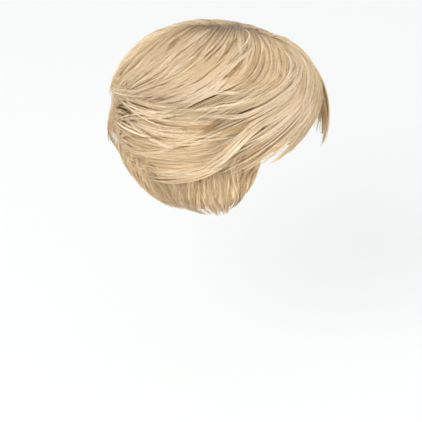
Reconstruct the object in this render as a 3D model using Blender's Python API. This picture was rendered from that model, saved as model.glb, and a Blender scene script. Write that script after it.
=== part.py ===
"""A short, layered wig, swept back from a side part: a thin cap, and rows of hair locks sewn on it.

Metres, +Z up. The wearer looks along -Y, so +X is the wearer's left. The origin is the point inside the
cap that rests on the crown of the head. A place on the head is a pair (turn, drop) in degrees: turn is 0
at the forehead, +90 at the left ear and 180 at the nape, and drop is 0 at the crown and 90 at the level
where the head is widest.
"""

import math
import random
from collections import namedtuple

import bmesh
import bpy
from mathutils import Vector

# The head that the cap fits
HEAD_WIDTH = 0.154
HEAD_LENGTH = 0.192
CROWN_HEIGHT = 0.085
NAPE_DEPTH = 0.104

# The cap
CAP_WALL = 0.0015
CAP_SEGMENTS = 40
CAP_RINGS = 12

# How far the hair stands off the head, on each side of it
HAIR_TOP = 0.019
HAIR_SIDE = 0.034
HAIR_FRONT = 0.016
HAIR_BACK = 0.038
HAIR_NECK = 0.012

# The locks
SEAT_GAP = 0.0005
THINNEST_LOCK = 0.0012
LOCK_RISE = 0.0008
LOCK_GROOVE = 0.0028
LOCK_COLUMNS = 3
LOCK_ROWS = 7
SHORTEST_LOCK = 0.90
NOTCH = 0.11
SEED = 7

Place = namedtuple("Place", "turn drop")

# The cap's edge on the wearer's left, from the forehead round the ear tab to the nape
HAIRLINE = [
    Place(turn=0, drop=64),
    Place(turn=30, drop=68),
    Place(turn=50, drop=80),
    Place(turn=64, drop=98),
    Place(turn=80, drop=92),
    Place(turn=97, drop=95),
    Place(turn=118, drop=109),
    Place(turn=142, drop=122),
    Place(turn=162, drop=128),
    Place(turn=180, drop=129),
]

# One guide is the path of a lock, as (turn, drop) where it is sewn on, over its shoulder, at its bend and at
# its tip. lift is how high this guide lies, against the rest of its row.
Guide = namedtuple("Guide", "root shoulder bend tip lift")

# A row of locks. under and over are the heights of its inner and outer face at the guide's four places, as
# shares of the hair's depth there. groove is how deep the valleys between its locks are, as a share of
# LOCK_GROOVE.
Row = namedtuple("Row", "node locks groove under over guides")

SIDE_GUIDES = [
    Guide((50, 78), (50, 88), (54, 98), (59, 109), 0.80),
    Guide((60, 78), (61, 94), (63, 110), (67, 126), 0.95),
    Guide((75, 78), (76, 99), (77, 120), (77, 141), 1.00),
    Guide((95, 80), (97, 102), (97, 123), (94, 143), 1.04),
    Guide((113, 82), (115, 103), (115, 123), (114, 143), 1.06),
]

MIDDLE_GUIDES = [
    Guide((58, 46), (86, 50), (120, 54), (158, 59), 0.90),
    Guide((52, 52), (80, 61), (113, 67), (154, 72), 0.96),
    Guide((45, 58), (72, 71), (104, 79), (149, 86), 1.06),
    Guide((43, 64), (68, 79), (95, 90), (138, 99), 1.16),
    Guide((46, 70), (64, 84), (84, 97), (114, 108), 1.22),
]

ROWS = [
    Row(
        node="nape_hair",
        locks=9,
        groove=0.6,
        under=(0.0, 0.06, 0.10, 0.16),
        over=(0.12, 0.46, 0.50, 0.42),
        guides=[
            Guide((-128, 108), (-130, 121), (-130, 136), (-128, 150), 1.0),
            Guide((-155, 113), (-156, 126), (-156, 140), (-155, 154), 1.0),
            Guide((180, 114), (180, 127), (180, 141), (180, 156), 1.0),
            Guide((155, 113), (156, 126), (156, 140), (155, 154), 1.0),
            Guide((128, 108), (130, 121), (130, 136), (128, 150), 1.0),
        ],
    ),
    Row(
        node="back_hair",
        locks=11,
        groove=0.8,
        under=(0.0, 0.26, 0.66, 0.86),
        over=(0.12, 0.78, 1.05, 1.03),
        guides=[
            Guide((-116, 82), (-117, 103), (-117, 123), (-116, 143), 1.0),
            Guide((-148, 80), (-149, 102), (-150, 125), (-149, 146), 1.0),
            Guide((180, 78), (180, 102), (180, 126), (180, 148), 1.0),
            Guide((148, 80), (149, 102), (150, 125), (149, 146), 1.0),
            Guide((116, 82), (117, 103), (117, 123), (116, 143), 1.0),
        ],
    ),
    Row(
        node="side_hair",
        locks=8,
        groove=0.8,
        under=(0.0, 0.06, 0.34, 0.56),
        over=(0.12, 0.46, 0.78, 0.76),
        guides=SIDE_GUIDES,
    ),
    Row(
        node="middle_hair",
        locks=8,
        groove=1.0,
        under=(0.0, 0.44, 0.56, 0.68),
        over=(0.20, 0.62, 0.76, 0.80),
        guides=MIDDLE_GUIDES,
    ),
    Row(
        node="middle_hair_back",
        locks=6,
        groove=0.9,
        under=(0.0, 0.16, 0.48, 1.00),
        over=(0.12, 0.50, 0.80, 1.20),
        guides=[
            Guide((-158, 46), (-158, 66), (-158, 86), (-157, 106), 1.0),
            Guide((180, 44), (180, 65), (180, 86), (180, 108), 1.0),
            Guide((158, 46), (158, 66), (158, 86), (157, 106), 1.0),
        ],
    ),
    Row(
        node="top_hair_right",
        locks=15,
        groove=1.0,
        under=(0.0, 0.40, 0.76, 0.84),
        over=(0.80, 0.97, 1.00, 1.00),
        guides=[
            Guide((151, 34), (168, 49), (177, 65), (-178, 83), 1.0),
            Guide((149, 30), (-178, 38), (-166, 57), (-163, 80), 1.0),
            Guide((142, 26), (-166, 27), (-142, 49), (-146, 77), 1.0),
            Guide((126, 22), (-130, 18), (-122, 46), (-141, 71), 1.0),
            Guide((96, 21), (-78, 15), (-100, 43), (-130, 67), 1.0),
            Guide((78, 22), (-12, 20), (-62, 40), (-104, 64), 1.0),
            Guide((66, 24), (12, 25), (-36, 41), (-86, 62), 1.0),
            Guide((60, 27), (22, 33), (-20, 45), (-73, 62), 1.0),
        ],
    ),
    Row(
        node="top_hair_left",
        locks=11,
        groove=1.0,
        under=(0.0, 0.60, 0.86, 0.92),
        over=(0.66, 0.94, 1.02, 1.02),
        guides=[
            Guide((64, 33), (74, 50), (86, 66), (103, 82), 0.94),
            Guide((72, 29), (88, 46), (100, 62), (117, 78), 0.90),
            Guide((86, 26), (103, 43), (115, 59), (129, 76), 0.90),
            Guide((104, 26), (121, 42), (131, 58), (142, 76), 0.94),
            Guide((126, 30), (142, 44), (152, 61), (161, 79), 1.0),
            Guide((144, 36), (161, 49), (171, 65), (178, 82), 1.0),
        ],
    ),
    Row(
        node="fringe",
        locks=11,
        groove=0.9,
        under=(0.0, 0.34, 0.66, 0.98),
        over=(0.82, 1.00, 1.02, 1.12),
        guides=[
            Guide((58, 29), (22, 36), (-20, 46), (-76, 61), 0.68),
            Guide((56, 32), (24, 43), (-17, 55), (-79, 75), 0.92),
            Guide((53, 34), (25, 50), (-16, 63), (-72, 87), 1.00),
            Guide((50, 37), (24, 55), (-14, 67), (-55, 88), 1.04),
            Guide((47, 40), (24, 59), (-6, 70), (-36, 84), 1.08),
            Guide((45, 43), (26, 61), (8, 69), (-17, 75), 1.08),
        ],
    ),
    Row(
        node="fringe_left",
        locks=5,
        groove=0.9,
        under=(0.0, 0.56, 0.80, 0.88),
        over=(0.76, 0.98, 1.02, 1.00),
        guides=[
            Guide((48, 43), (38, 58), (28, 80), (13, 101), 1.0),
            Guide((54, 40), (47, 58), (39, 82), (27, 107), 1.0),
            Guide((61, 37), (64, 56), (62, 80), (54, 106), 1.0),
        ],
    ),
]

# The colours of the hair, from the dark roots to the pale ends, and of the cap
HAIR_COLOURS = {
    "nape_hair": (0.52, 0.36, 0.19),
    "back_hair": (0.58, 0.42, 0.23),
    "side_hair": (0.58, 0.42, 0.23),
    "middle_hair": (0.64, 0.48, 0.28),
    "middle_hair_back": (0.64, 0.48, 0.28),
    "top_hair_right": (0.68, 0.53, 0.33),
    "top_hair_left": (0.68, 0.53, 0.33),
    "fringe": (0.70, 0.55, 0.35),
    "fringe_left": (0.66, 0.49, 0.29),
}
HAIR_ROUGHNESS = 0.42
CAP_COLOUR = (0.55, 0.42, 0.30)
CAP_ROUGHNESS = 0.85


def direction(place):
    """The unit vector from the middle of the head to a (turn, drop) in degrees."""
    turn, drop = (math.radians(angle) for angle in place)
    return Vector((math.sin(drop) * math.sin(turn), -math.sin(drop) * math.cos(turn), math.cos(drop)))


def head_point(way, lift):
    """The point that stands lift above the head in the direction way."""
    height = CROWN_HEIGHT if way.z > 0 else NAPE_DEPTH
    half_width, half_length = HEAD_WIDTH / 2, HEAD_LENGTH / 2
    x = (half_width + lift) * way.x
    y = (half_length + lift) * way.y
    z = (height + lift) * way.z - CROWN_HEIGHT
    return Vector((x, y, z))


def hair_depth(way):
    """How far the outside of the hair stands above the cap in the direction way."""
    front_or_back = HAIR_FRONT if way.y < 0 else HAIR_BACK
    top_or_neck = HAIR_TOP if way.z > 0 else HAIR_NECK
    return HAIR_SIDE * way.x**2 + front_or_back * way.y**2 + top_or_neck * way.z**2


def through(points, share):
    """The value at share, from 0 to 1, of a smooth curve through evenly spaced points."""
    last = len(points) - 1
    at = min(max(share, 0.0), 1.0) * last
    i = min(int(at), last - 1)
    f = at - i
    a = points[max(i - 1, 0)]
    b = points[i]
    c = points[i + 1]
    d = points[min(i + 2, last)]
    slope_b = (c - a) / 2
    slope_c = (d - b) / 2
    return (
        b * (2 * f**3 - 3 * f**2 + 1)
        + slope_b * (f**3 - 2 * f**2 + f)
        + c * (3 * f**2 - 2 * f**3)
        + slope_c * (f**3 - f**2)
    )


def guide_between(guides, across):
    """The four directions of the guide that lies at across, from 0 to 1, among a row's guides."""
    columns = zip(*(guide[:4] for guide in guides))
    return [through([direction(place) for place in column], across).normalized() for column in columns]


def mirrored(row, side):
    """The row for one side of the head, from guides that are written for the wearer's left."""
    sign = 1 if side == "left" else -1
    guides = [Guide(*((sign * turn, drop) for turn, drop in guide[:4]), guide.lift) for guide in row.guides]
    return row._replace(node=row.node + "_" + side, guides=guides)


def lock_lengths(locks, dice):
    """How far along its guide each lock of a row reaches."""
    return [dice.uniform(SHORTEST_LOCK, 1.0) for _ in range(locks)]


def columns_of(row, dice):
    """For each column of a row's mesh, its place across the row, its reach and how deep it lies in a valley."""
    reaches = lock_lengths(row.locks, dice)
    rises = [dice.uniform(-LOCK_RISE, LOCK_RISE) for _ in range(row.locks)]
    columns = []
    for number in range(row.locks * LOCK_COLUMNS + 1):
        lock, part = divmod(number, LOCK_COLUMNS)
        here = min(lock, row.locks - 1)
        before = max(lock - 1, 0)
        if part == 0:
            reach = min(reaches[before], reaches[here]) - NOTCH
            columns.append((number, reach, 1.0, (rises[before] + rises[here]) / 2))
        else:
            reach = reaches[here] - NOTCH * (part - 1) / LOCK_COLUMNS
            columns.append((number, reach, 0.0, rises[here]))
    total = row.locks * LOCK_COLUMNS
    return [(number / total, reach, valley, rise) for number, reach, valley, rise in columns]


def close_sheet(mesh, outer, inner):
    """Faces for two grids of points of the same size, and for the edge that joins them."""
    outer_points = [[mesh.verts.new(point) for point in column] for column in outer]
    inner_points = [[mesh.verts.new(point) for point in column] for column in inner]
    across, along = len(outer), len(outer[0])
    for grid, step in ((outer_points, 1), (inner_points, -1)):
        for i in range(across - 1):
            for j in range(along - 1):
                around = (grid[i][j], grid[i][j + 1], grid[i + 1][j + 1], grid[i + 1][j])
                mesh.faces.new(around[::step])
    rim = [(i, 0) for i in range(across)]
    rim += [(across - 1, j) for j in range(1, along)]
    rim += [(i, along - 1) for i in range(across - 2, -1, -1)]
    rim += [(0, j) for j in range(along - 2, 0, -1)]
    for (i, j), (k, m) in zip(rim, rim[1:] + rim[:1]):
        mesh.faces.new((outer_points[i][j], outer_points[k][m], inner_points[k][m], inner_points[i][j]))


def hair_colour(node):
    """The colour of a row, which is the same on both sides of the head."""
    both_sides = node.removesuffix("_left").removesuffix("_right")
    return HAIR_COLOURS.get(node) or HAIR_COLOURS[both_sides]


def hair_object(row, dice):
    """One row of locks, fused into a closed sheet that is thick in its locks and thin in the valleys."""
    seat = CAP_WALL + SEAT_GAP
    outer, inner = [], []
    for across, reach, valley, rise in columns_of(row, dice):
        guide = guide_between(row.guides, across)
        lift = through([guide.lift for guide in row.guides], across)
        outer_column, inner_column = [], []
        for step in range(LOCK_ROWS + 1):
            along = reach * step / LOCK_ROWS
            way = through(guide, along).normalized()
            depth = hair_depth(way)
            low = seat + max(through(row.under, along), 0.0) * lift * depth
            high = seat + through(row.over, along) * lift * depth
            high += (rise - valley * row.groove * LOCK_GROOVE) * min(1.0, 3 * along)
            high = max(high, low + THINNEST_LOCK)
            outer_column.append(head_point(way, high))
            inner_column.append(head_point(way, low))
        outer.append(outer_column)
        inner.append(inner_column)
    mesh = bmesh.new()
    close_sheet(mesh, outer, inner)
    return finished(mesh, row.node, hair_colour(row.node))


def hairline_drop(turn):
    """The drop of the cap's edge at a turn from -180 to 180."""
    turn = abs(turn)
    for number, (start, end) in enumerate(zip(HAIRLINE, HAIRLINE[1:])):
        if turn <= end.turn:
            before = HAIRLINE[max(number - 1, 0)].drop
            after = HAIRLINE[min(number + 2, len(HAIRLINE) - 1)].drop
            share = (turn - start.turn) / (end.turn - start.turn)
            return through([before, start.drop, end.drop, after], (1 + share) / 3)
    return HAIRLINE[-1].drop


def cap_grid(mesh, lift):
    """The rings of one face of the cap, from the crown to the hairline, and its middle point."""
    crown = mesh.verts.new(head_point(Vector((0, 0, 1)), lift))
    rings = []
    for ring in range(1, CAP_RINGS + 1):
        points = []
        for segment in range(CAP_SEGMENTS):
            turn = 360 * segment / CAP_SEGMENTS - 180
            drop = hairline_drop(turn) * ring / CAP_RINGS
            points.append(mesh.verts.new(head_point(direction((turn, drop)), lift)))
        rings.append(points)
    return crown, rings


def cap_object():
    """The cap: a thin wall over the head, open at the face, round the ears and at the nape."""
    mesh = bmesh.new()
    outer_crown, outer = cap_grid(mesh, CAP_WALL)
    inner_crown, inner = cap_grid(mesh, 0.0)
    for crown, rings, step in ((outer_crown, outer, 1), (inner_crown, inner, -1)):
        for i in range(CAP_SEGMENTS):
            k = (i + 1) % CAP_SEGMENTS
            mesh.faces.new((crown, rings[0][i], rings[0][k])[::step])
            for ring, below in zip(rings, rings[1:]):
                mesh.faces.new((ring[i], below[i], below[k], ring[k])[::step])
    for i in range(CAP_SEGMENTS):
        k = (i + 1) % CAP_SEGMENTS
        mesh.faces.new((outer[-1][i], inner[-1][i], inner[-1][k], outer[-1][k]))
    return finished(mesh, "cap", CAP_COLOUR, CAP_ROUGHNESS)


def finish_material(name, colour, roughness):
    """A Principled material of one colour."""
    material = bpy.data.materials.new(name)
    material.use_nodes = True
    shader = material.node_tree.nodes["Principled BSDF"]
    shader.inputs["Base Color"].default_value = (*colour, 1.0)
    shader.inputs["Roughness"].default_value = roughness
    shader.inputs["Metallic"].default_value = 0.0
    return material


def finished(mesh, name, colour, roughness=HAIR_ROUGHNESS):
    """The object of a bmesh, with its faces turned out, its own material and smooth shading."""
    if mesh.calc_volume(signed=True) < 0:
        bmesh.ops.reverse_faces(mesh, faces=mesh.faces)
    data = bpy.data.meshes.new(name)
    mesh.to_mesh(data)
    mesh.free()
    data.shade_smooth()
    data.set_sharp_from_angle(angle=math.radians(50))
    data.materials.append(finish_material(name, colour, roughness))
    made = bpy.data.objects.new(name, data)
    bpy.context.scene.collection.objects.link(made)
    return made


def main():
    for old in list(bpy.data.objects):
        bpy.data.objects.remove(old)
    wig = bpy.data.objects.new("wig", None)
    bpy.context.scene.collection.objects.link(wig)
    pieces = [cap_object()]
    dice = random.Random(SEED)
    for row in ROWS:
        if row.node in ("side_hair", "middle_hair"):
            pieces += [hair_object(mirrored(row, side), dice) for side in ("right", "left")]
        else:
            pieces.append(hair_object(row, dice))
    for piece in pieces:
        piece.parent = wig


main()
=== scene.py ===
"""The looks of a short, layered, blonde wig: locks and loose strands over its cap, and a pale studio.

Metres, +Z up. The wearer looks along -Y, and +X is the wearer's left. A place on the head is a pair
(turn, drop) in degrees: turn is 0 at the forehead, +90 at the left ear and 180 at the nape, and drop is 0
at the crown and 90 at the level where the head is widest.
"""

import math
from collections import namedtuple

import bpy
import numpy as np
from bpy.props import FloatProperty, FloatVectorProperty, IntProperty, PointerProperty
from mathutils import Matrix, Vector


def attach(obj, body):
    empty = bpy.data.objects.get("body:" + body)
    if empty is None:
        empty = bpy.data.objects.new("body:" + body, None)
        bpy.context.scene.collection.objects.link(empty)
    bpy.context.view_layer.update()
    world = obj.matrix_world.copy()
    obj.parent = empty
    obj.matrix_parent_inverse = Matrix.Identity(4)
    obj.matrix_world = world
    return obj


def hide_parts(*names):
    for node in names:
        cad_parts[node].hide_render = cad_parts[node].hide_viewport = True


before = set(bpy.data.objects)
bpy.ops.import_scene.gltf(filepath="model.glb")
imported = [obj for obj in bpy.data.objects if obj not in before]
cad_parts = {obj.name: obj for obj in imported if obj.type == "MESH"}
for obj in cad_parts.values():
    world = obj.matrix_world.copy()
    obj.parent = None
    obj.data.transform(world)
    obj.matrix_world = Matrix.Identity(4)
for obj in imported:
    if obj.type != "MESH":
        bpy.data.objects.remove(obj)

bl_info = {
    "name": "Short layered wig",
    "version": (1, 0, 0),
    "blender": (4, 5, 0),
    "location": "View3D > Sidebar > Wig",
    "description": "Lays the locks and strands of a short wig over its cap and sets a studio round it",
    "category": "Add Mesh",
}

# The head that the cap fits, and how far the hair stands off it on each side
HEAD_WIDTH = 0.154
HEAD_LENGTH = 0.192
CROWN_HEIGHT = 0.085
NAPE_DEPTH = 0.104
CAP_WALL = 0.0015
SEAT_GAP = 0.0005
HAIR_TOP = 0.019
HAIR_SIDE = 0.034
HAIR_FRONT = 0.016
HAIR_BACK = 0.038
HAIR_NECK = 0.012
LOCK_GROOVE = 0.0028
THINNEST_HAIR = 0.0012

# The mass under the strands: columns for each lock, sections, and how far along its lock it reaches
LOCK_COLUMNS = 6
LOCK_STEPS = 15
SHORTEST_MASS = 0.84
LONGEST_MASS = 0.94
MASS_NOTCH = 0.16
MASS_SINK = 0.0005
MASS_VALLEY = 0.7
MASS_TIP = 0.6

# How strands scatter in their wisp, as shares of the lock's length or of the row's width
ROOT_SCATTER = 0.03
TIP_SCATTER = 0.06
SHORTEST_STRAND = 0.2
WANDER = 0.0025
STRAY_WANDER = 0.014
SPILL = 0.03
STRAND_VALLEY = 0.6
STRAND_SINK = 0.0002
COVERED_DEPTH = 0.002
COVERED_SHARE = 0.3

# How much a wisp leans and bows across its row, and how far it rises over the hair and curls at its tip
WISP_LEAN = 0.045
WISP_BOW = 0.010
WISP_RISE = 0.0002
EARLY_RISE = 0.0005
WISP_CURL = -0.0004
CURL_SCATTER = 0.0010

# Tones run from 0, the deepest, to 1, the palest. A streak is a strand or wisp that differs by this much.
DARK_STREAK = 0.20
PALE_STREAK = 0.15
TIP_PALER = 0.10

# Loose wisps: strands and sections, how far their roots dip into the hair, and how far out they are mapped
STRANDS_IN_A_PART = 11
LOOSE_RINGS = 7
LOOSE_DIP = 0.0025
LOOSE_RADIUS = 0.115
LOOSE_ROOT = 0.12
MILLIMETRE = 0.001

# The palette map, and the scales of the finishes' patterns on it or in metres
PALETTE_MAP = "OFBake"
MOTTLE_SCALE = (60.0, 5.0, 1.0)
FINE_SCALE = (420.0, 5.0, 1.0)
BROAD_SCALE = (60.0, 3.0, 1.0)
BANDS_SCALE = 34.0
NET_SCALE = 900.0
WEAR_SCALE = 40.0

# The studio: the floor's edge rises and widens in these steps, as (rise, growth)
FLOOR_RADIUS = 4.0
FLOOR_SIDES = 96
FLOOR_EDGE = ((0.1, 1.10), (0.3, 1.07), (0.6, 1.04), (1.2, 1.02), (3.0, 1.0))
FLOOR_DARK = (0.325, 0.330, 0.328)
FLOOR_PALE = (0.335, 0.340, 0.338)
FLOOR_GLOW_COLOUR = (0.985, 1.0, 0.993)
FLOOR_GLOW = 0.485

# A light's size, and how far it stands towards the camera, to its right and up, from the middle of the head
Light = namedtuple("Light", "name size back right rise")
LIGHTS = (
    Light("key light", 2.6, 2.5, -1.7, 1.2),
    Light("fill light", 2.0, 2.2, 2.2, -0.7),
    Light("rear light", 1.8, 1.6, -2.4, -0.5),
)

# One guide is the path of a lock: where it is sewn on, its shoulder, its bend and its tip, as (turn, drop).
Guide = namedtuple("Guide", "root shoulder bend tip lift")

# A row of locks. under and over are the heights of its inner and outer face at the guide's four places, as
# shares of the hair's depth there. groove is how deep the valleys between locks are, as a share of
# LOCK_GROOVE. strands and rings say how many strands lie on it and how many sections each has. short is the
# share of wisps that end early, past how far the longest reach beyond their lock and parted how far they
# start before it, as shares of its length. inner is the share of strands on the inner face, loose how freely
# the wisps cross each other, and tone how pale the row is. The tone is partly the hair's own colour and
# partly painted shade: the lower rows, which lie under the upper ones, are given deeper tones.
Row = namedtuple(
    "Row",
    "node locks groove under over strands rings short past loose tone guides parted inner",
    defaults=(0.0, 0.0),
)

# What all the strands of one wisp of a row share
Wisps = namedtuple("Wisps", "middle start reach half lean bow phase rise curl tone")

# The rows that come in pairs, written for the wearer's left, where they have a share of the strands
PAIRS = ("side_hair", "middle_hair")
LEFT_SHARE = 0.6

SIDE_GUIDES = [
    Guide((50, 78), (50, 88), (54, 98), (59, 109), 0.80),
    Guide((60, 78), (61, 94), (63, 110), (67, 126), 0.95),
    Guide((75, 78), (76, 99), (77, 120), (77, 141), 1.00),
    Guide((95, 80), (97, 102), (97, 123), (94, 143), 1.04),
    Guide((113, 82), (115, 103), (115, 123), (114, 143), 1.06),
]

MIDDLE_GUIDES = [
    Guide((58, 46), (86, 50), (120, 54), (158, 59), 0.90),
    Guide((52, 52), (80, 61), (113, 67), (154, 72), 0.96),
    Guide((45, 58), (72, 71), (104, 79), (149, 86), 1.06),
    Guide((43, 64), (68, 79), (95, 90), (138, 99), 1.16),
    Guide((46, 70), (64, 84), (84, 97), (114, 108), 1.22),
]

ROWS = [
    Row(
        node="nape_hair", locks=9, groove=0.6, strands=500, rings=6,
        short=0.2, past=0.02, inner=0.45, loose=1.2, tone=0.4,
        under=(0.0, 0.06, 0.10, 0.16),
        over=(0.12, 0.46, 0.50, 0.42),
        guides=[
            Guide((-128, 108), (-130, 121), (-130, 136), (-128, 150), 1.0),
            Guide((-155, 113), (-156, 126), (-156, 140), (-155, 154), 1.0),
            Guide((180, 114), (180, 127), (180, 141), (180, 156), 1.0),
            Guide((155, 113), (156, 126), (156, 140), (155, 154), 1.0),
            Guide((128, 108), (130, 121), (130, 136), (128, 150), 1.0),
        ],
    ),
    Row(
        node="back_hair", locks=11, groove=0.8, strands=1500, rings=7,
        short=0.35, past=0.02, inner=0.1, loose=1.9, tone=0.48,
        under=(0.0, 0.26, 0.66, 0.86),
        over=(0.12, 0.78, 1.05, 1.03),
        guides=[
            Guide((-116, 82), (-117, 103), (-117, 123), (-116, 143), 1.0),
            Guide((-148, 80), (-149, 102), (-150, 125), (-149, 146), 1.0),
            Guide((180, 78), (180, 102), (180, 126), (180, 148), 1.0),
            Guide((148, 80), (149, 102), (150, 125), (149, 146), 1.0),
            Guide((116, 82), (117, 103), (117, 123), (116, 143), 1.0),
        ],
    ),
    Row(
        node="side_hair", locks=8, groove=0.8, strands=1600, rings=7,
        short=0.35, past=0.02, inner=0.2, loose=1.9, tone=0.5,
        under=(0.0, 0.06, 0.34, 0.56),
        over=(0.12, 0.46, 0.78, 0.76),
        guides=SIDE_GUIDES,
    ),
    Row(
        node="middle_hair", locks=8, groove=1.0, strands=1900, rings=8,
        short=0.5, past=0.1, loose=1.8, tone=0.54,
        under=(0.0, 0.42, 0.50, 0.54),
        over=(0.20, 0.62, 0.76, 0.80),
        guides=MIDDLE_GUIDES,
    ),
    Row(
        node="middle_hair_back", locks=6, groove=0.9, strands=900, rings=7,
        short=0.4, past=0.04, loose=1.8, tone=0.52,
        under=(0.0, 0.16, 0.48, 1.00),
        over=(0.12, 0.50, 0.80, 1.20),
        guides=[
            Guide((-158, 46), (-158, 66), (-158, 86), (-157, 106), 1.0),
            Guide((180, 44), (180, 65), (180, 86), (180, 108), 1.0),
            Guide((158, 46), (158, 66), (158, 86), (157, 106), 1.0),
        ],
    ),
    Row(
        node="top_hair_right", locks=15, groove=1.0, strands=3800, rings=9,
        short=0.45, past=0.07, parted=0.02, loose=1.0, tone=0.6,
        under=(0.0, 0.40, 0.76, 0.84),
        over=(0.80, 0.97, 1.00, 1.00),
        guides=[
            Guide((151, 34), (168, 49), (177, 65), (-178, 83), 1.0),
            Guide((149, 30), (-178, 38), (-166, 57), (-163, 80), 1.0),
            Guide((142, 26), (-166, 27), (-142, 49), (-146, 77), 1.0),
            Guide((126, 22), (-130, 18), (-122, 46), (-141, 71), 1.0),
            Guide((96, 21), (-78, 15), (-100, 43), (-130, 67), 1.0),
            Guide((78, 22), (-12, 20), (-62, 40), (-104, 64), 1.0),
            Guide((66, 24), (12, 25), (-36, 41), (-86, 62), 1.0),
            Guide((60, 27), (22, 33), (-20, 45), (-73, 62), 1.0),
        ],
    ),
    Row(
        node="top_hair_left", locks=11, groove=1.0, strands=1350, rings=8,
        short=0.4, past=0.06, parted=0.07, loose=1.0, tone=0.56,
        under=(0.0, 0.60, 0.86, 0.92),
        over=(0.66, 0.94, 1.02, 1.02),
        guides=[
            Guide((64, 33), (74, 50), (86, 66), (103, 82), 0.94),
            Guide((72, 29), (88, 46), (100, 62), (117, 78), 0.90),
            Guide((86, 26), (103, 43), (115, 59), (129, 76), 0.90),
            Guide((104, 26), (121, 42), (131, 58), (142, 76), 0.94),
            Guide((126, 30), (142, 44), (152, 61), (161, 79), 1.0),
            Guide((144, 36), (161, 49), (171, 65), (178, 82), 1.0),
        ],
    ),
    Row(
        node="fringe", locks=11, groove=0.9, strands=2900, rings=9,
        short=0.4, past=0.07, parted=0.02, loose=1.0, tone=0.62,
        under=(0.0, 0.34, 0.66, 0.98),
        over=(0.82, 1.00, 1.02, 1.12),
        guides=[
            Guide((58, 29), (22, 36), (-20, 46), (-76, 61), 0.68),
            Guide((56, 32), (24, 43), (-17, 55), (-79, 75), 0.92),
            Guide((53, 34), (25, 50), (-16, 63), (-72, 87), 1.00),
            Guide((50, 37), (24, 55), (-14, 67), (-55, 88), 1.04),
            Guide((47, 40), (24, 59), (-6, 70), (-36, 84), 1.08),
            Guide((45, 43), (26, 61), (8, 69), (-17, 75), 1.08),
        ],
    ),
    Row(
        node="fringe_left", locks=5, groove=0.9, strands=800, rings=8,
        short=0.35, past=0.05, parted=0.05, loose=1.0, tone=0.52,
        under=(0.0, 0.56, 0.80, 0.88),
        over=(0.76, 0.98, 1.02, 1.00),
        guides=[
            Guide((48, 43), (38, 58), (28, 80), (13, 101), 1.0),
            Guide((54, 40), (47, 58), (39, 82), (27, 107), 1.0),
            Guide((61, 37), (64, 56), (62, 80), (54, 106), 1.0),
        ],
    ),
]

# A wisp that lies loose over the rows: half its width in millimetres, how many smaller wisps it is made of,
# how far above the hair it lies in millimetres, how pale it is, the signs of its turns on the sides of the
# head where it lies, and the places that it runs through, as (turn, drop).
LooseWisp = namedtuple("LooseWisp", "half parts lift tone sides places")
ONE = (1,)
BOTH = (1, -1)

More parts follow.
